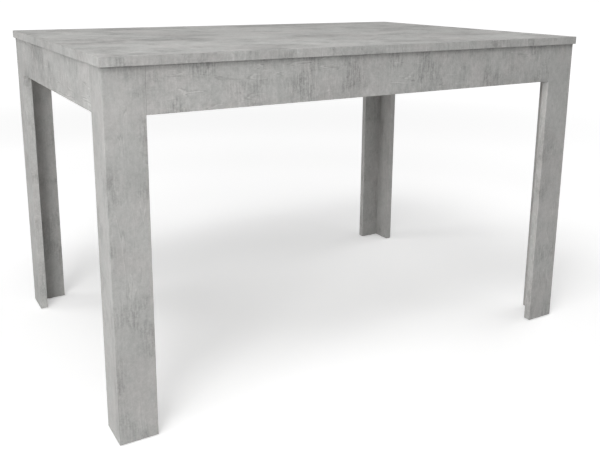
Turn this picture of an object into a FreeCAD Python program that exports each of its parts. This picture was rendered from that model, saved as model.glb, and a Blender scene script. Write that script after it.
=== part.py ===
"""Extendable dining table in concrete-look laminated board.

The frame is in millimetres with +Z up. The origin is on the floor, under the middle of the top.
+X runs along the table and +Y across it; -Y is the front.

Fixed frame: a one-piece top, four L-shaped legs of two boards each, a front and a back apron, two inner
rails, corner blocks, four guide channels, and two slats that carry the stored leaves.
Pull-outs: each end apron is bolted to two steel bars that run in the guide channels.
Leaves: two loose boards lie lengthwise on the slats. In use, each lies across two pulled-out bars.
"""
import FreeCAD
import Part
import os
from FreeCAD import Rotation, Vector

# ---- driving dimensions -------------------------------------------------------------------------
TOP_LENGTH = 1200.0
TOP_WIDTH = 800.0
TABLE_HEIGHT = 750.0
BOARD = 18.0              # thickness of every laminated board
OVERHANG = 5.0            # top past the legs and aprons, all round
APRON_HEIGHT = 90.0
END_GAP = 2.0             # space between the top and what moves with the ends, for the leaves' tongues
LEG_WIDTH = 78.0          # outer width of an L-shaped leg, on both sides
PULLOUT_TRAVEL = 400.0    # how far each end comes out, which is also a leaf's width
EDGE_BAND = 1.0           # thickness of the edge bands on the top and the leaves
EDGE_ROUND = 0.4          # softening of the boards' edges
GLIDE_HEIGHT = 2.0

# ---- frame levels and faces ---------------------------------------------------------------------
TOP_UNDER = TABLE_HEIGHT - BOARD
APRON_BOTTOM = TOP_UNDER - APRON_HEIGHT
END_TOP = TOP_UNDER - END_GAP              # top of the end aprons, bars and inner rails
FRAME_X = TOP_LENGTH / 2 - OVERHANG        # outer face of the frame's ends
FRAME_Y = TOP_WIDTH / 2 - OVERHANG         # outer face of the front and back
INNER_X = FRAME_X - BOARD
INNER_Y = FRAME_Y - BOARD
LEG_INNER_X = FRAME_X - LEG_WIDTH
LEG_INNER_Y = FRAME_Y - LEG_WIDTH

# ---- pull-out bars and their guides -------------------------------------------------------------
BAR_WIDTH = 20.0
BAR_HEIGHT = 30.0
BAR_WALL = 1.5
BAR_LENGTH = 797.0
BAR_Y = {"left": 300.0, "right": 245.0}    # the two ends' bars pass side by side
BAR_BOTTOM = END_TOP - BAR_HEIGHT
PLATE_THICK = 3.0
PLATE_WIDTH = 40.0
PLATE_HEIGHT = 38.0
PLUG_THICK = 3.0
PULLOUT_GAP = 1.0         # between an end apron and the leg on each side of it

SHEET = 1.5               # steel of the guide channels
LINER = 1.0
RUNNING_GAP = 0.3         # between a bar and its liners
GUIDE_OUTER_X = 550.0
GUIDE_INNER_X = 50.0
GUIDE_FLANGE = 25.0       # half of the guide's width over its flanges
LINER_LENGTH = 40.0
STOP_X = -200.0           # stop bolt's place on the bar at rest, past the middle of the table
STOP_RADIUS = 4.75
STOP_HEIGHT = 4.0
SLOT_WIDTH = 12.0
SLOT_CLEARANCE = 0.5

# ---- inner rails, blocks, slats and brackets ----------------------------------------------------
RAIL_BOTTOM = APRON_BOTTOM + 4.0
NOTCH_WIDTH = 45.0
NOTCH_BOTTOM = BAR_BOTTOM - 11.0
BLOCK_LENGTH = 120.0
BLOCK_DEPTH = 30.0
BLOCK_BOTTOM = TOP_UNDER - 64.0
SLAT_X = 275.0
SLAT_WIDTH = 40.0
SLAT_THICK = 14.0
SLAT_TOP = APRON_BOTTOM + 18.0
BRACKET_SIZE = 30.0
BRACKET_WIDTH = 24.0
BRACKET_STEEL = 2.0
TOP_BRACKET_X = (-300.0, 0.0, 300.0)
RAIL_BRACKET_Y = (-100.0, 100.0)

# ---- leaves -------------------------------------------------------------------------------------
LEAF_LENGTH = TOP_WIDTH
LEAF_WIDTH = PULLOUT_TRAVEL
PAD_THICK = 2.0
PAD_X = (235.0, 310.0)
PAD_Y = 140.0
PAD_WIDTH = 20.0
TONGUE_THICK = 1.2
TONGUE_WIDTH = 60.0
TONGUE_LENGTH = 80.0
TONGUE_REACH = 30.0
TONGUE_X = 150.0

# ---- fasteners ----------------------------------------------------------------------------------
SCREW_HEAD_RADIUS = 3.6
SCREW_HEAD_DEPTH = 1.9
SCREW_RADIUS = 1.9
SCREW_GRIP = 12.0         # depth of a screw in the board that it holds
RECESS_DEPTH = 0.9
RECESS_ARM = 2.0
RECESS_THICK = 0.7
HOLE_CLEARANCE = 0.05
DOWEL_RADIUS = 4.0
DOWEL_LENGTH = 30.0
GLIDE_RADIUS = 7.5

ENDS = {"left": -1, "right": 1}
SIDES = {"front": -1, "back": 1}

parts = {}


# ---- helpers ------------------------------------------------------------------------------------
def box(xs, ys, zs):
    """A box from three pairs of coordinates, given in either order."""
    low = [min(pair) for pair in (xs, ys, zs)]
    size = [abs(pair[1] - pair[0]) for pair in (xs, ys, zs)]
    return Part.makeBox(*size, Vector(*low))


def board(xs, ys, zs):
    """A laminated board: a box with all its edges slightly softened."""
    solid = box(xs, ys, zs)
    return solid.makeFillet(EDGE_ROUND, solid.Edges)


def fused(solids):
    """One solid out of boxes that meet."""
    whole = solids[0]
    for solid in solids[1:]:
        whole = whole.fuse(solid)
    return whole.removeSplitter()


def add(name, solids):
    """Record a sub-part, made of one solid or of a group of separate ones."""
    solids = solids if isinstance(solids, list) else [solids]
    parts[name] = solids[0] if len(solids) == 1 else Part.makeCompound(solids)


def turned(solid, point, direction):
    """A copy of a solid built up the Z axis, moved to a point and turned along a direction."""
    placed = solid.copy()
    placed.Placement = FreeCAD.Placement(Vector(*point), Rotation(Vector(0, 0, 1), Vector(*direction)))
    return placed


def drill(hosts, holes):
    """Cut the holes out of each of the named sub-parts."""
    tool = Part.makeCompound(holes)
    for host in hosts:
        parts[host] = parts[host].cut(tool)


def screw_blank(length, spare):
    """A countersunk screw's outline, its head flush with z = 0, grown by the spare amount."""
    head = Part.makeCone(SCREW_HEAD_RADIUS + spare, SCREW_RADIUS + spare, SCREW_HEAD_DEPTH)
    return head.fuse(Part.makeCylinder(SCREW_RADIUS + spare, length + spare)).removeSplitter()


def screw(length):
    """A countersunk screw with a cross recess, its head flush with z = 0."""
    arms = [box((-RECESS_ARM, RECESS_ARM), (-RECESS_THICK / 2, RECESS_THICK / 2), (0, RECESS_DEPTH)),
            box((-RECESS_THICK / 2, RECESS_THICK / 2), (-RECESS_ARM, RECESS_ARM), (0, RECESS_DEPTH))]
    return screw_blank(length, 0.0).cut(fused(arms))


def add_screws(name, rows, hosts):
    """Add a group of screws and drill their holes. A row is (point, direction, length)."""
    drill(hosts, [turned(screw_blank(length, HOLE_CLEARANCE), point, way) for point, way, length in rows])
    add(name, [turned(screw(length), point, way) for point, way, length in rows])


def add_dowels(name, rows, hosts):
    """Add a group of dowels and drill their holes. A row is (first end, direction)."""
    hole = Part.makeCylinder(DOWEL_RADIUS + HOLE_CLEARANCE, DOWEL_LENGTH)
    dowel = Part.makeCylinder(DOWEL_RADIUS, DOWEL_LENGTH)
    drill(hosts, [turned(hole, point, way) for point, way in rows])
    add(name, [turned(dowel, point, way) for point, way in rows])


def corners():
    """The four corners as (name, sign in X, sign in Y)."""
    return [(side + "_" + end, ex, sy) for side, sy in SIDES.items() for end, ex in ENDS.items()]


# ---- boards -------------------------------------------------------------------------------------
def edge_banded(name, half_x, half_y, bottom, centre_x=0.0):
    """A board core and the four bands round its edges, which take the wear."""
    level = (bottom, bottom + BOARD)
    core_x, core_y = half_x - EDGE_BAND, half_y - EDGE_BAND
    add(name, box((centre_x - core_x, centre_x + core_x), (-core_y, core_y), level))
    bands = []
    for sign in (-1, 1):
        bands.append(board((centre_x - half_x, centre_x + half_x), (sign * core_y, sign * half_y), level))
        bands.append(board((centre_x + sign * core_x, centre_x + sign * half_x), (-core_y, core_y), level))
    add(name + "_edge_bands", bands)


def add_legs():
    """Each leg is a face board and, butted behind it, a side board flush with the end of the frame."""
    height = (GLIDE_HEIGHT, TOP_UNDER)
    glides = []
    for name, ex, sy in corners():
        add(name + "_leg_face", board((ex * LEG_INNER_X, ex * FRAME_X), (sy * INNER_Y, sy * FRAME_Y), height))
        add(name + "_leg_side", board((ex * INNER_X, ex * FRAME_X), (sy * LEG_INNER_Y, sy * INNER_Y), height))
        mid_face = (ex * (LEG_INNER_X + FRAME_X) / 2, sy * (INNER_Y + BOARD / 2))
        mid_side = (ex * (INNER_X + BOARD / 2), sy * (LEG_INNER_Y + INNER_Y) / 2)
        for x, y in (mid_face, mid_side):
            glides.append(Part.makeCylinder(GLIDE_RADIUS, GLIDE_HEIGHT, Vector(x, y, 0)))
    add("leg_glides", glides)


def add_aprons():
    """The front and back aprons run from leg to leg."""
    for side, sy in SIDES.items():
        add(side + "_apron", board((-LEG_INNER_X, LEG_INNER_X), (sy * INNER_Y, sy * FRAME_Y),
                                   (APRON_BOTTOM, TOP_UNDER)))


def add_inner_rails():
    """A fixed rail behind each end apron ties the legs, with a notch for each bar and its end plate."""
    for end, ex in ENDS.items():
        rail = board((ex * (INNER_X - BOARD), ex * INNER_X), (-INNER_Y, INNER_Y), (RAIL_BOTTOM, END_TOP))
        for sy in SIDES.values():
            middle = sy * BAR_Y[end]
            notch = box((ex * (INNER_X - 2 * BOARD), ex * FRAME_X),
                        (middle - NOTCH_WIDTH / 2, middle + NOTCH_WIDTH / 2), (NOTCH_BOTTOM, TOP_UNDER))
            rail = rail.cut(notch)
        add(end + "_inner_rail", rail)


def add_corner_blocks():
    """A beech block in each corner joins leg, apron and top."""
    outer = INNER_X - BOARD
    for name, ex, sy in corners():
        add(name + "_corner_block", board((ex * (outer - BLOCK_LENGTH), ex * outer),
                                          (sy * (INNER_Y - BLOCK_DEPTH), sy * INNER_Y),
                                          (BLOCK_BOTTOM, TOP_UNDER)))


def add_slats():
    """Two slats from apron to apron carry the stored leaves."""
    for end, ex in ENDS.items():
        add(end + "_storage_slat", board((ex * (SLAT_X - SLAT_WIDTH / 2), ex * (SLAT_X + SLAT_WIDTH / 2)),
                                         (-INNER_Y, INNER_Y), (SLAT_TOP - SLAT_THICK, SLAT_TOP)))


# ---- guides and pull-outs -----------------------------------------------------------------------
def add_guides():
    """Steel channels under the top, one for each bar, with plastic liners that the bar slides on.

    The section is a hat: two flanges against the top, two webs and a floor. A slot in the floor lets the
    bar's stop bolt in, and ends where the bolt stops at full travel.
    """
    liners = []
    inner_half = BAR_WIDTH / 2 + RUNNING_GAP + LINER
    floor = BAR_BOTTOM - RUNNING_GAP - LINER
    slot_end = PULLOUT_TRAVEL + STOP_X + STOP_RADIUS + SLOT_CLEARANCE
    for end, ex in ENDS.items():
        run = (ex * GUIDE_INNER_X, ex * GUIDE_OUTER_X)
        for side, sy in SIDES.items():
            mid = sy * BAR_Y[end]
            steel = [box(run, (mid - inner_half - SHEET, mid + inner_half + SHEET), (floor - SHEET, floor))]
            for s in (-1, 1):
                steel.append(box(run, (mid + s * inner_half, mid + s * (inner_half + SHEET)),
                                 (floor - SHEET, TOP_UNDER)))
                steel.append(box(run, (mid + s * inner_half, mid + s * GUIDE_FLANGE),
                                 (TOP_UNDER - SHEET, TOP_UNDER)))
            slot = box((0, ex * slot_end), (mid - SLOT_WIDTH / 2, mid + SLOT_WIDTH / 2),
                       (floor - 2 * SHEET, floor + SHEET / 2))
            add(end + "_" + side + "_guide", fused(steel).cut(slot))
            for outer in (GUIDE_OUTER_X, slot_end + 2 * SLOT_CLEARANCE + LINER_LENGTH):
                span = (ex * (outer - LINER_LENGTH), ex * outer)
                strips = [box(span, (mid - inner_half, mid + inner_half), (floor, floor + LINER))]
                for s in (-1, 1):
                    strips.append(box(span, (mid + s * inner_half, mid + s * (inner_half - LINER)),
                                      (floor, END_TOP)))
                liners.append(fused(strips))
    add("guide_liners", liners)


def add_pullouts():
    """Each pull-out is an end apron, two steel tubes welded to end plates, end plugs and stop bolts."""
    for end, ex in ENDS.items():
        half = LEG_INNER_Y - PULLOUT_GAP
        add(end + "_end_apron", board((ex * INNER_X, ex * FRAME_X), (-half, half), (APRON_BOTTOM, END_TOP)))
        plate_face = INNER_X - PLATE_THICK
        inner_end = plate_face - BAR_LENGTH
        plugs, stops = [], []
        for side, sy in SIDES.items():
            mid = sy * BAR_Y[end]
            wide = (mid - BAR_WIDTH / 2, mid + BAR_WIDTH / 2)
            tall = (BAR_BOTTOM, END_TOP)
            bore_wide = (wide[0] + BAR_WALL, wide[1] - BAR_WALL)
            bore_tall = (tall[0] + BAR_WALL, tall[1] - BAR_WALL)
            tube = box((ex * inner_end, ex * plate_face), wide, tall)
            tube = tube.cut(box((ex * inner_end, ex * plate_face), bore_wide, bore_tall))
            plate = box((ex * plate_face, ex * INNER_X), (mid - PLATE_WIDTH / 2, mid + PLATE_WIDTH / 2),
                        (END_TOP - PLATE_HEIGHT, END_TOP))
            bolt_at = Vector(ex * STOP_X, mid, BAR_BOTTOM - STOP_HEIGHT)
            hole = Part.makeCylinder(SCREW_RADIUS + HOLE_CLEARANCE, 2 * STOP_HEIGHT, bolt_at)
            add(end + "_" + side + "_bar", fused([tube, plate]).cut(hole))
            cap = box((ex * (inner_end - PLUG_THICK), ex * inner_end), wide, tall)
            stem = box((ex * inner_end, ex * (inner_end + 4 * PLUG_THICK)), bore_wide, bore_tall)
            plugs.append(fused([cap, stem]))
            head = Part.makeCylinder(STOP_RADIUS, STOP_HEIGHT, bolt_at)
            stops.append(head.fuse(Part.makeCylinder(SCREW_RADIUS, 2 * STOP_HEIGHT, bolt_at)).removeSplitter())
        add(end + "_bar_plugs", plugs)
        add(end + "_stop_bolts", stops)
        rows = []
        for sy in SIDES.values():
            for dy in (-PLATE_WIDTH / 2 + 5, PLATE_WIDTH / 2 - 5):
                for drop in (8.0, PLATE_HEIGHT - 8.0):
                    rows.append(((ex * plate_face, sy * BAR_Y[end] + dy, END_TOP - drop), (ex, 0, 0),
                                 PLATE_THICK + SCREW_GRIP))
        add_screws(end + "_bar_screws", rows, [end + "_end_apron", end + "_front_bar", end + "_back_bar"])


# ---- leaves -------------------------------------------------------------------------------------
def add_leaf(name, bottom, joining_side):
    """A leaf stored lengthwise: its board, edge bands, rubber pads and the tongues of its joining edge."""
    edge_banded(name, LEAF_LENGTH / 2, LEAF_WIDTH / 2, bottom)
    pads, tongues, rows = [], [], []
    for sx in (-1, 1):
        for sy in (-1, 1):
            pads.append(board((sx * PAD_X[0], sx * PAD_X[1]),
                              (sy * PAD_Y - PAD_WIDTH / 2, sy * PAD_Y + PAD_WIDTH / 2),
                              (bottom - PAD_THICK, bottom)))
        tip = joining_side * (LEAF_WIDTH / 2 + TONGUE_REACH)
        root = tip - joining_side * TONGUE_LENGTH
        middle = sx * TONGUE_X
        tongues.append(box((middle - TONGUE_WIDTH / 2, middle + TONGUE_WIDTH / 2), (root, tip),
                           (bottom - TONGUE_THICK, bottom)))
        for dx in (-TONGUE_WIDTH / 4, TONGUE_WIDTH / 4):
            rows.append(((middle + dx, root + joining_side * 15.0, bottom - TONGUE_THICK), (0, 0, 1),
                         SCREW_GRIP))
    add(name + "_pads", pads)
    add(name + "_tongues", tongues)
    add_screws(name + "_screws", rows, [name, name + "_tongues"])


# ---- brackets, screws and dowels ----------------------------------------------------------------
def angle_bracket(corner, away, up):
    """A small steel angle. Its corner is a point, one leg goes away along X or Y, the other up or down."""
    x, y, z = corner
    across = BRACKET_WIDTH / 2
    if away[0]:
        lie = box((x, x + away[0] * BRACKET_SIZE), (y - across, y + across), (z, z + up * BRACKET_STEEL))
        stand = box((x, x + away[0] * BRACKET_STEEL), (y - across, y + across), (z, z + up * BRACKET_SIZE))
    else:
        lie = box((x - across, x + across), (y, y + away[1] * BRACKET_SIZE), (z, z + up * BRACKET_STEEL))
        stand = box((x - across, x + across), (y, y + away[1] * BRACKET_STEEL), (z, z + up * BRACKET_SIZE))
    return fused([lie, stand])


def bracket_screws(corner, away, up):
    """The bracket's two screws: one into the board beside it, one into the board above or below."""
    x, y, z = corner
    reach = BRACKET_SIZE * 0.6
    beside = (x + away[0] * BRACKET_STEEL, y + away[1] * BRACKET_STEEL, z + up * reach)
    over = (x + away[0] * reach, y + away[1] * reach, z + up * BRACKET_STEEL)
    return [(beside, (-away[0], -away[1], 0), BRACKET_STEEL + SCREW_GRIP),
            (over, (0, 0, -up), BRACKET_STEEL + SCREW_GRIP - 2.0)]


def add_brackets():
    """Angles that hold the top to the aprons and rails, and the slats to the aprons."""
    top = [((x, sy * INNER_Y, TOP_UNDER), (0, -sy), -1) for x in TOP_BRACKET_X for sy in SIDES.values()]
    top += [((ex * (INNER_X - BOARD), y, TOP_UNDER), (-ex, 0), -1)
            for ex in ENDS.values() for y in RAIL_BRACKET_Y]
    slat = [((ex * SLAT_X, sy * INNER_Y, SLAT_TOP), (0, -sy), 1)
            for ex in ENDS.values() for sy in SIDES.values()]
    hosts = ["front_apron", "back_apron"]
    for name, places, others in (("top", top, ["tabletop", "left_inner_rail", "right_inner_rail"]),
                                 ("slat", slat, ["left_storage_slat", "right_storage_slat"])):
        add(name + "_brackets", [angle_bracket(*place) for place in places])
        rows = [row for place in places for row in bracket_screws(*place)]
        add_screws(name + "_bracket_screws", rows, [name + "_brackets"] + hosts + others)


def add_frame_screws():
    """Screws through the corner blocks, the rails and the guides' flanges."""
    block_rows, top_rows, rail_rows, guide_rows = [], [], [], []
    block_end = INNER_X - BOARD
    for name, ex, sy in corners():
        for back in (21.0, 64.0, 99.0):
            for down in (17.0, 47.0):
                start = (ex * (block_end - back), sy * (INNER_Y - BLOCK_DEPTH), TOP_UNDER - down)
                block_rows.append((start, (0, sy, 0), BLOCK_DEPTH + SCREW_GRIP))
        for back in (43.0, 81.0):
            start = (ex * (block_end - back), sy * (INNER_Y - BLOCK_DEPTH / 2), BLOCK_BOTTOM)
            top_rows.append((start, (0, 0, 1), TOP_UNDER - BLOCK_BOTTOM + SCREW_GRIP))
        for inward, height in ((15.0, RAIL_BOTTOM + 10.0), (42.0, BAR_BOTTOM)):
            start = (ex * block_end, sy * (INNER_Y - inward), height)
            rail_rows.append((start, (ex, 0, 0), BOARD + SCREW_GRIP))
    for end, ex in ENDS.items():
        for sy in SIDES.values():
            for x in (GUIDE_INNER_X + 20, (GUIDE_INNER_X + GUIDE_OUTER_X) / 2, GUIDE_OUTER_X - 20):
                for dy in (-19.0, 19.0):
                    start = (ex * x, sy * BAR_Y[end] + dy, TOP_UNDER - SHEET)
                    guide_rows.append((start, (0, 0, 1), SHEET + SCREW_GRIP))
    names = [name for name, _, _ in corners()]
    blocks = [name + "_corner_block" for name in names]
    guides = [end + "_" + side + "_guide" for end in ENDS for side in SIDES]
    add_screws("corner_block_screws", block_rows,
               blocks + [name + "_leg_face" for name in names] + ["front_apron", "back_apron"])
    add_screws("tabletop_screws", top_rows, blocks + ["tabletop"])
    add_screws("rail_screws", rail_rows,
               ["left_inner_rail", "right_inner_rail"] + [name + "_leg_side" for name in names])
    add_screws("guide_screws", guide_rows, guides + ["tabletop"])


def add_frame_dowels():
    """Dowels between the two boards of each leg, and between the legs and the aprons."""
    leg_rows, apron_rows = [], []
    for name, ex, sy in corners():
        for z in (120.0, 400.0, 680.0):
            start = (ex * (INNER_X + BOARD / 2), sy * (INNER_Y + 10.0), z)
            leg_rows.append((start, (0, -sy, 0)))
        for z in (APRON_BOTTOM + 23.0, END_TOP - 23.0):
            start = (ex * (LEG_INNER_X + DOWEL_LENGTH / 2), sy * (INNER_Y + BOARD / 2), z)
            apron_rows.append((start, (-ex, 0, 0)))
    faces = [name + "_leg_face" for name, _, _ in corners()]
    add_dowels("leg_dowels", leg_rows, faces + [name + "_leg_side" for name, _, _ in corners()])
    add_dowels("apron_dowels", apron_rows, faces + ["front_apron", "back_apron"])


# ---- assembly -----------------------------------------------------------------------------------
edge_banded("tabletop", TOP_LENGTH / 2, TOP_WIDTH / 2, TOP_UNDER)
add_legs()
add_aprons()
add_inner_rails()
add_corner_blocks()
add_slats()
add_guides()
add_pullouts()
LOWER_LEAF = SLAT_TOP + PAD_THICK
UPPER_LEAF = LOWER_LEAF + BOARD + PAD_THICK
add_leaf("lower_leaf", LOWER_LEAF, 1)
add_leaf("upper_leaf", UPPER_LEAF, -1)
add_brackets()
add_frame_screws()
add_frame_dowels()

os.makedirs("parts", exist_ok=True)
for node, shape in parts.items():
    shape.exportStep("parts/" + node + ".step")
    if not shape.isValid():
        print("not valid:", node)
print(len(parts), "sub-parts,", sum(len(shape.Solids) for shape in parts.values()), "solids")
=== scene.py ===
"""Looks of the extendable dining table: its finishes, a pale floor, soft light and the camera.

Everything is in metres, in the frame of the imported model: +X along the table, -Y the front, +Z up.
"""
import math

import bpy
import numpy as np
from mathutils import Matrix, Vector

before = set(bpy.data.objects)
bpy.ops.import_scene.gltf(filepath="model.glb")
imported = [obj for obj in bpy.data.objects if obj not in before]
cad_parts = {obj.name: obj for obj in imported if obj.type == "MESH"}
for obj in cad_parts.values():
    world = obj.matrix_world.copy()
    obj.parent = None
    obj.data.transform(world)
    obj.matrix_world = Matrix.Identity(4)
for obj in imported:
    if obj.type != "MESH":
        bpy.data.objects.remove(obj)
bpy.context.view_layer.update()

# ---- camera -------------------------------------------------------------------------------------
CAMERA_PLACE = (-0.947, -1.666, 0.875)
CAMERA_TURN = math.radians(30.54)      # from looking along +Y towards +X
CAMERA_DOWN = math.radians(12.64)
CAMERA_ROLL = math.radians(0.43)
CAMERA_LENS = 44.6
CAMERA_SHIFT = -0.14

# ---- light --------------------------------------------------------------------------------------
SKY_STRENGTH = 0.21
SOFTBOX_CENTRE = Vector((0.0, 0.0, 0.5))
SOFTBOX_AIM = Vector((0.0, 0.0, 0.4))
SOFTBOX_DISTANCE = 4.0                 # from the softboxes' centre
SOFTBOXES = (                          # name, compass angle from +X, height angle, side, watts
    ("front_left_low", 225, 20, 1.6, 62.0),
    ("front_left_high", 215, 60, 1.5, 52.0),
    ("front_high", 242, 65, 1.1, 18.0),
    ("left_low", 190, 20, 1.6, 18.0),
    ("back_left", 150, 30, 1.6, 30.0),
    ("right_high", 330, 60, 1.6, 20.0),
    ("right", 0, 40, 1.8, 27.0),
)

FLOOR_RADIUS = 40.0
FLOOR_COLOUR = (0.70, 0.70, 0.70, 1.0)
FLOOR_GLOW = (                         # distance from the middle, glow there, which lights nothing else
    (0.0, 0.42), (0.7, 0.37), (1.6, 0.49), (2.4, 0.56), (6.0, 0.92),
)

# ---- finishes -----------------------------------------------------------------------------------
CONCRETE_GREY = (0.427, 0.427, 0.415, 1.0)
CONCRETE_WARM = (0.431, 0.424, 0.413, 1.0)
# A line on the board: its axis, its place, where it starts to fade, its end, and its gain. The apron end line
# is a dark joint in the print; the others are painted light.
APRON_END_LINE = ("X", 0.517, 0.0006, 0.0012, -0.30)
# painted shade under the top's overhang, up to 24% darker on the boards below it
TOP_PAINTED_SHADE_LINE = ("Z", 0.732, 0.0030, 0.0120, -0.24)
# painted highlights along the free edges of the leg boards, where their rounded edges catch the light
FACE_PAINTED_HIGHLIGHT_LINE = ("X", 0.517, 0.0006, 0.0010, 0.16)
SIDE_PAINTED_HIGHLIGHT_LINE = ("Y", 0.317, 0.0006, 0.0010, 0.16)
WHITE = (1.0, 1.0, 1.0, 1.0)
BEECH_DARK = (0.60, 0.41, 0.24, 1.0)
BEECH_LIGHT = (0.72, 0.53, 0.34, 1.0)
BEECH_FLECK = (0.36, 0.21, 0.11, 1.0)
UPRIGHT = (0.0, 0.0, 0.0)              # the print's grain runs up the board
LENGTHWISE = (0.0, math.pi / 2, 0.0)   # the print's grain runs along the table
CROSSWISE = (math.pi / 2, 0.0, 0.0)    # the print's grain runs across the table


# ---- node helpers -------------------------------------------------------------------------------
class Finish:
    """A material being built: its Principled shader, and short ways to add nodes in front of it."""

    def __init__(self, name):
        self.material = bpy.data.materials.new(name)
        self.material.use_nodes = True
        self.tree = self.material.node_tree
        self.shader = self.tree.nodes["Principled BSDF"]

    def node(self, kind, settings=(), **inputs):
        """A node with its settings, whose inputs are values or other nodes' output sockets."""
        made = self.tree.nodes.new(kind)
        for key, value in dict(settings).items():
            setattr(made, key, value)
        for key, value in inputs.items():
            self.join(value, made.inputs[key.replace("_", " ")])
        return made

    def join(self, value, socket):
        """Links an output socket to an input, or sets the input's own value."""
        if isinstance(value, bpy.types.NodeSocket):
            self.tree.links.new(value, socket)
        else:
            socket.default_value = value

    def math(self, operation, *values):
        """A maths node on one to three values or sockets."""
        made = self.tree.nodes.new("ShaderNodeMath")
        made.operation = operation
        for value, socket in zip(values, made.inputs):
            self.join(value, socket)
        return made.outputs[0]

    def place(self, offset=(0, 0, 0), turn=(0, 0, 0), scale=(1, 1, 1)):
        """Object coordinates, moved, turned and stretched."""
        coordinates = self.node("ShaderNodeTexCoord").outputs["Object"]
        return self.node("ShaderNodeMapping", Vector=coordinates, Location=offset, Rotation=turn,
                         Scale=scale).outputs[0]

    def stretch(self, vector, scale):
        """A coordinate stretched again, for a pattern that is longer one way."""
        return self.node("ShaderNodeMapping", Vector=vector, Scale=scale).outputs[0]

    def noise(self, vector, size, detail=2.0, roughness=0.5, distortion=0.0):
        """Noise with blotches of about the given size, in metres."""
        return self.node("ShaderNodeTexNoise", Vector=vector, Scale=1.0 / size, Detail=detail,
                         Roughness=roughness, Distortion=distortion).outputs[0]

    def ramp(self, value, low, high, out_low=0.0, out_high=1.0):
        """A smooth step of a value from one range to another."""
        made = self.node("ShaderNodeMapRange", {"interpolation_type": "SMOOTHSTEP"})
        for key, number in (("Value", value), ("From Min", low), ("From Max", high),
                            ("To Min", out_low), ("To Max", out_high)):
            self.join(number, made.inputs[key])
        return made.outputs[0]

    def add_up(self, start, *terms):
        """A start value plus noises, each counted from its middle and times its gain."""
        for value, gain in terms:
            start = self.math("MULTIPLY_ADD", self.math("SUBTRACT", value, 0.5), gain, start)
        return start

    def near(self, axis, place, full, end):
        """1 close to a place along an axis, on either side of the middle, fading to 0 at the end distance."""
        coordinates = self.node("ShaderNodeTexCoord").outputs["Object"]
        along = self.node("ShaderNodeSeparateXYZ", Vector=coordinates).outputs[axis]
        off = self.math("ABSOLUTE", self.math("SUBTRACT", self.math("ABSOLUTE", along), place))
        return self.ramp(off, end, full)

    def mix(self, factor, first, second, blend="MIX"):
        """A colour mix."""
        made = self.tree.nodes.new("ShaderNodeMix")
        made.data_type = "RGBA"
        made.blend_type = blend
        self.join(factor, made.inputs[0])
        self.join(first, made.inputs[6])
        self.join(second, made.inputs[7])
        return made.outputs[2]

    def bump(self, height, distance, strength=1.0):
        """Fine relief on the shader's normal. The distance is the height of a full step, in metres."""
        made = self.node("ShaderNodeBump", Height=height, Distance=distance, Strength=strength)
        self.join(made.outputs[0], self.shader.inputs["Normal"])

    def set(self, **values):
        """Sets or links the shader's own sockets."""
        for key, value in values.items():
            self.join(value, self.shader.inputs[key.replace("_", " ")])
        return self.material


# ---- finishes of the table ----------------------------------------------------------------------
def concrete_print(name, grain, offset, contrast=1.0, cracks=(1, 1, 0.10), lines=()):
    """Laminate printed like cast concrete: clouds, rough dark patches with short streaks, and cracks.

    contrast is how strongly the print is marked, and cracks is the stretch that sets which way the cracks
    run. lines are the dark joints, the painted shade under the top and the painted highlights on free edges.
    """
    f = Finish(name)
    base = f.place(offset, grain)
    clouds = f.noise(f.stretch(base, (1, 1, 0.7)), 0.130, 2.0)
    patches = f.noise(f.stretch(base, (1, 1, 0.8)), 0.055, 5.0, 0.68, 0.3)
    wear = f.noise(f.stretch(base, (1, 1, 0.9)), 0.070, 2.0, 0.5)
    mottle = f.noise(f.stretch(base, (1, 1, 0.75)), 0.012, 5.0, 0.88)
    streaks = f.noise(f.stretch(base, (1, 1, 0.11)), 0.0036, 2.0, 0.6)
    specks = f.noise(base, 0.0036, 2.0, 0.8)

    worn = f.ramp(f.math("MULTIPLY_ADD", clouds, 0.6, wear), 0.84, 0.66)
    shade = f.math("MULTIPLY_ADD", worn, -0.03, 0.030)
    shade = f.add_up(shade, (clouds, 0.24), (patches, 0.36),
                     (mottle, f.math("MULTIPLY_ADD", worn, 0.25, 0.66)),
                     (specks, f.math("MULTIPLY_ADD", worn, 0.20, 0.22)))
    comb = f.math("MULTIPLY_ADD", worn, -0.13, -0.04)
    shade = f.math("MULTIPLY_ADD", f.ramp(streaks, 0.60, 0.40), comb, shade)

    wander = f.noise(f.stretch(base, cracks), 0.040, 3.0, 0.6)
    patch = f.ramp(clouds, 0.48, 0.54)
    for middle, gain in ((0.478, 0.11), (0.490, -0.12)):
        line = f.ramp(f.math("ABSOLUTE", f.math("SUBTRACT", wander, middle)), 0.008, 0.002)
        shade = f.math("MULTIPLY_ADD", line, f.math("MULTIPLY", patch, gain), shade)
    shade = f.math("MULTIPLY_ADD", shade, contrast, 1.0)
    # The lines darken or lighten the board: dark joints, painted shade under the top, painted highlights on
    # free edges.
    for *where, gain in lines:
        shade = f.math("MULTIPLY", shade, f.math("MULTIPLY_ADD", f.near(*where), gain, 1.0))

    tint = f.math("MULTIPLY_ADD", patches, 0.5, f.noise(f.stretch(base, (1, 1, 0.8)), 0.09, 4.0, 0.6))
    colour = f.mix(f.ramp(tint, 0.66, 0.86), CONCRETE_GREY, CONCRETE_WARM)
    grey = f.node("ShaderNodeCombineColor", Red=shade, Green=shade, Blue=shade).outputs[0]
    colour = f.mix(1.0, colour, grey, "MULTIPLY")
    f.bump(f.math("MULTIPLY_ADD", streaks, 0.5, mottle), 0.00010, 0.5)
    return f.set(Base_Color=colour, Roughness=f.ramp(mottle, 0.3, 0.7, 0.50, 0.62))


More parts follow.
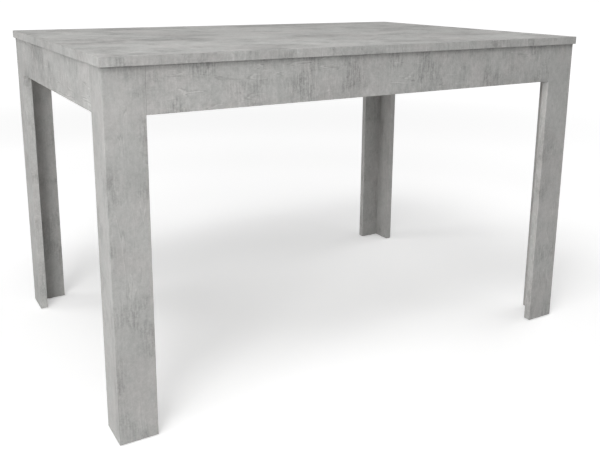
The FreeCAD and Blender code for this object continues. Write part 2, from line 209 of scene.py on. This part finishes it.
def beech(name, grain, offset):
    """Plain sanded beech: straight grain with short darker flecks."""
    f = Finish(name)
    base = f.place(offset, grain)
    rings = f.noise(f.stretch(base, (1, 1, 0.06)), 0.009, 4.0, 0.55, 0.6)
    flecks = f.noise(f.stretch(base, (1, 1, 0.15)), 0.0016, 1.0)
    colour = f.mix(f.ramp(rings, 0.3, 0.7), BEECH_DARK, BEECH_LIGHT)
    colour = f.mix(f.ramp(flecks, 0.62, 0.72, 0.0, 0.45), colour, BEECH_FLECK)
    f.bump(flecks, 0.00015, 0.5)
    return f.set(Base_Color=colour, Roughness=f.ramp(rings, 0.3, 0.7, 0.55, 0.68))


def grey_board():
    """Plain grey melamine with a fine pearl texture, on the inner rails."""
    f = Finish("grey_board")
    base = f.place()
    pearl = f.noise(base, 0.0022, 2.0)
    cloud = f.noise(base, 0.12, 2.0)
    colour = f.mix(f.ramp(cloud, 0.3, 0.7), (0.33, 0.33, 0.32, 1.0), (0.38, 0.38, 0.37, 1.0))
    f.bump(pearl, 0.00012, 0.6)
    return f.set(Base_Color=colour, Roughness=f.ramp(pearl, 0.3, 0.7, 0.48, 0.6))


def zinc():
    """Zinc-plated steel: a dull metal with cloudy plating and faint drawing lines."""
    f = Finish("zinc_steel")
    base = f.place()
    cloud = f.noise(base, 0.012, 4.0, 0.6)
    lines = f.noise(f.stretch(base, (0.04, 1, 1)), 0.0012, 2.0)
    colour = f.mix(cloud, (0.58, 0.59, 0.60, 1.0), (0.72, 0.73, 0.73, 1.0))
    f.bump(lines, 0.00003, 0.6)
    return f.set(Base_Color=colour, Metallic=1.0, Roughness=f.ramp(cloud, 0.3, 0.7, 0.30, 0.46))


def powder_coat():
    """Satin grey powder coat with a fine orange peel, rubbed a little along the bars."""
    f = Finish("painted_steel")
    base = f.place()
    peel = f.noise(base, 0.0018, 1.0)
    rub = f.noise(f.stretch(base, (0.03, 1, 1)), 0.004, 3.0)
    colour = f.mix(f.ramp(rub, 0.45, 0.75), (0.36, 0.37, 0.38, 1.0), (0.45, 0.46, 0.47, 1.0))
    f.bump(peel, 0.00012, 0.5)
    return f.set(Base_Color=colour, Roughness=f.ramp(rub, 0.3, 0.8, 0.42, 0.30))


def moulded(name, dark, light, roughness):
    """Moulded plastic or rubber with a fine spark-eroded texture."""
    f = Finish(name)
    base = f.place()
    grain = f.noise(base, 0.0009, 2.0)
    cloud = f.noise(base, 0.02, 2.0)
    f.bump(grain, 0.00008, 0.6)
    return f.set(Base_Color=f.mix(cloud, dark, light),
                 Roughness=f.ramp(grain, 0.3, 0.7, roughness, roughness + 0.12))


def give(material, *nodes):
    """Puts a finish on CAD nodes."""
    for node in nodes:
        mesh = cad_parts[node].data
        mesh.materials.clear()
        mesh.materials.append(material)


def finish_boards():
    """Every board is cut from its own part of the print, so each has its own offset into it."""
    give(concrete_print("concrete_top", LENGTHWISE, (3.1, 0.7, 0.2), 1.5), "tabletop")
    give(concrete_print("concrete_top_edge", UPRIGHT, (1.3, 5.1, 2.0), 1.15), "tabletop_edge_bands")
    count = 0
    for node in sorted(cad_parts):
        if node.endswith("_leg_face"):
            # a painted highlight on the face board's free edge, and painted shade under the top
            looks = {"lines": (FACE_PAINTED_HIGHLIGHT_LINE, TOP_PAINTED_SHADE_LINE)}
        elif node.endswith("_leg_side"):
            # a painted highlight on the side board's free edge
            looks = {"lines": (SIDE_PAINTED_HIGHLIGHT_LINE,)}
        elif node in ("front_apron", "back_apron"):
            # dark joints at the legs, and painted shade under the top
            looks = {"contrast": 1.35, "cracks": (0.10, 1, 1), "lines": (APRON_END_LINE, TOP_PAINTED_SHADE_LINE)}
        elif node.endswith("_end_apron"):
            looks = {"contrast": 1.6, "cracks": (1, 0.10, 1)}
        else:
            continue
        count += 1
        offset = (1.7 * count, 0.9 * count, 0.37 * count)
        give(concrete_print("concrete_" + node, UPRIGHT, offset, **looks), node)
    for number, node in enumerate(("lower_leaf", "upper_leaf")):
        offset = (0.6, 8.0 + number, 4.4)
        give(concrete_print("concrete_" + node, CROSSWISE, offset), node, node + "_edge_bands")


def finish_fittings():
    """The parts inside: beech blocks and slats, steel, plastic and rubber."""
    nodes = sorted(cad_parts)
    blocks = [node for node in nodes if node.endswith("_corner_block")]
    give(beech("beech_blocks", LENGTHWISE, (0.2, 0.4, 0.1)), *blocks)
    give(beech("beech_slats", CROSSWISE, (0.5, 0.1, 0.9)), "left_storage_slat", "right_storage_slat")
    give(beech("beech_dowels", CROSSWISE, (0.0, 0.3, 0.2)), "leg_dowels", "apron_dowels")
    give(grey_board(), "left_inner_rail", "right_inner_rail")
    steel_ends = ("_screws", "_brackets", "_guide", "_tongues", "_bolts")
    give(zinc(), *[node for node in nodes if node.endswith(steel_ends)])
    give(powder_coat(), *[node for node in nodes if node.endswith("_bar")])
    give(moulded("white_plastic", (0.74, 0.74, 0.72, 1.0), (0.80, 0.80, 0.78, 1.0), 0.42),
         "guide_liners", "leg_glides")
    give(moulded("black_plastic", (0.020, 0.020, 0.021, 1.0), (0.032, 0.032, 0.033, 1.0), 0.45),
         "left_bar_plugs", "right_bar_plugs")
    give(moulded("rubber", (0.030, 0.030, 0.030, 1.0), (0.045, 0.045, 0.045, 1.0), 0.72),
         "lower_leaf_pads", "upper_leaf_pads")


# ---- surroundings -------------------------------------------------------------------------------
def make_floor():
    """A round pale floor: rings of points at radii that grow outwards, joined to a point in the middle."""
    turns, rings = 96, 12
    angle = np.linspace(0.0, 2 * math.pi, turns, endpoint=False)
    radius = FLOOR_RADIUS * (np.arange(1, rings + 1) / rings) ** 2
    x = radius[:, None] * np.cos(angle)
    y = radius[:, None] * np.sin(angle)
    points = np.vstack([[0.0, 0.0, 0.0], np.stack([x, y, np.zeros_like(x)], axis=2).reshape(-1, 3)])
    step = np.arange(turns)
    following = (step + 1) % turns
    faces = [(0, 1 + i, 1 + j) for i, j in zip(step, following)]
    for ring in range(rings - 1):
        inner, outer = 1 + ring * turns, 1 + (ring + 1) * turns
        faces += [(inner + i, outer + i, outer + j, inner + j) for i, j in zip(step, following)]
    mesh = bpy.data.meshes.new("floor")
    mesh.from_pydata(points.tolist(), [], [tuple(int(v) for v in face) for face in faces])
    floor = bpy.data.objects.new("floor", mesh)
    bpy.context.scene.collection.objects.link(floor)
    f = Finish("pale_floor")
    coordinates = f.node("ShaderNodeTexCoord").outputs["Object"]
    distance = f.node("ShaderNodeVectorMath", {"operation": "LENGTH"}, Vector=coordinates).outputs["Value"]
    glow = FLOOR_GLOW[0][1]
    for (near, low), (far, high) in zip(FLOOR_GLOW, FLOOR_GLOW[1:]):
        glow = f.math("ADD", glow, f.ramp(distance, near, far, 0.0, high - low))
    seen = f.node("ShaderNodeLightPath").outputs["Is Camera Ray"]
    mesh.materials.append(f.set(Base_Color=FLOOR_COLOUR, Roughness=0.7, Emission_Color=WHITE,
                                Emission_Strength=f.math("MULTIPLY", glow, seen)))


def make_sky():
    """A white surround that lights softly from everywhere and is plain white to the camera."""
    world = bpy.data.worlds.new("studio")
    world.use_nodes = True
    tree = world.node_tree
    light = tree.nodes["Background"]
    light.inputs["Color"].default_value = WHITE
    light.inputs["Strength"].default_value = SKY_STRENGTH
    seen = tree.nodes.new("ShaderNodeBackground")
    seen.inputs["Color"].default_value = WHITE
    mixed = tree.nodes.new("ShaderNodeMixShader")
    path = tree.nodes.new("ShaderNodeLightPath")
    tree.links.new(path.outputs["Is Camera Ray"], mixed.inputs[0])
    tree.links.new(light.outputs[0], mixed.inputs[1])
    tree.links.new(seen.outputs[0], mixed.inputs[2])
    tree.links.new(mixed.outputs[0], tree.nodes["World Output"].inputs[0])
    bpy.context.scene.world = world


def make_softbox(name, compass, height, size, watts):
    """A square area light on a sphere round the table, aimed at its middle."""
    data = bpy.data.lights.new(name, "AREA")
    data.size = size
    data.energy = watts
    light = bpy.data.objects.new(name, data)
    compass, height = math.radians(compass), math.radians(height)
    way = Vector((math.cos(height) * math.cos(compass), math.cos(height) * math.sin(compass),
                  math.sin(height)))
    light.location = way * SOFTBOX_DISTANCE + SOFTBOX_CENTRE
    light.rotation_euler = (SOFTBOX_AIM - light.location).to_track_quat("-Z", "Y").to_euler()
    bpy.context.scene.collection.objects.link(light)


def make_camera():
    """The camera looks a little down on the table from its front left."""
    data = bpy.data.cameras.new("camera")
    data.sensor_width = 36.0
    data.lens = CAMERA_LENS
    data.shift_y = CAMERA_SHIFT
    camera = bpy.data.objects.new("camera", data)
    camera.matrix_world = (Matrix.Translation(CAMERA_PLACE) @ Matrix.Rotation(-CAMERA_TURN, 4, "Z")
                           @ Matrix.Rotation(math.pi / 2 - CAMERA_DOWN, 4, "X")
                           @ Matrix.Rotation(CAMERA_ROLL, 4, "Z"))
    bpy.context.scene.collection.objects.link(camera)
    bpy.context.scene.camera = camera


make_camera()
finish_boards()
finish_fittings()
make_floor()
make_sky()
for softbox in SOFTBOXES:
    make_softbox(*softbox)
bpy.context.scene.view_settings.view_transform = "Standard"
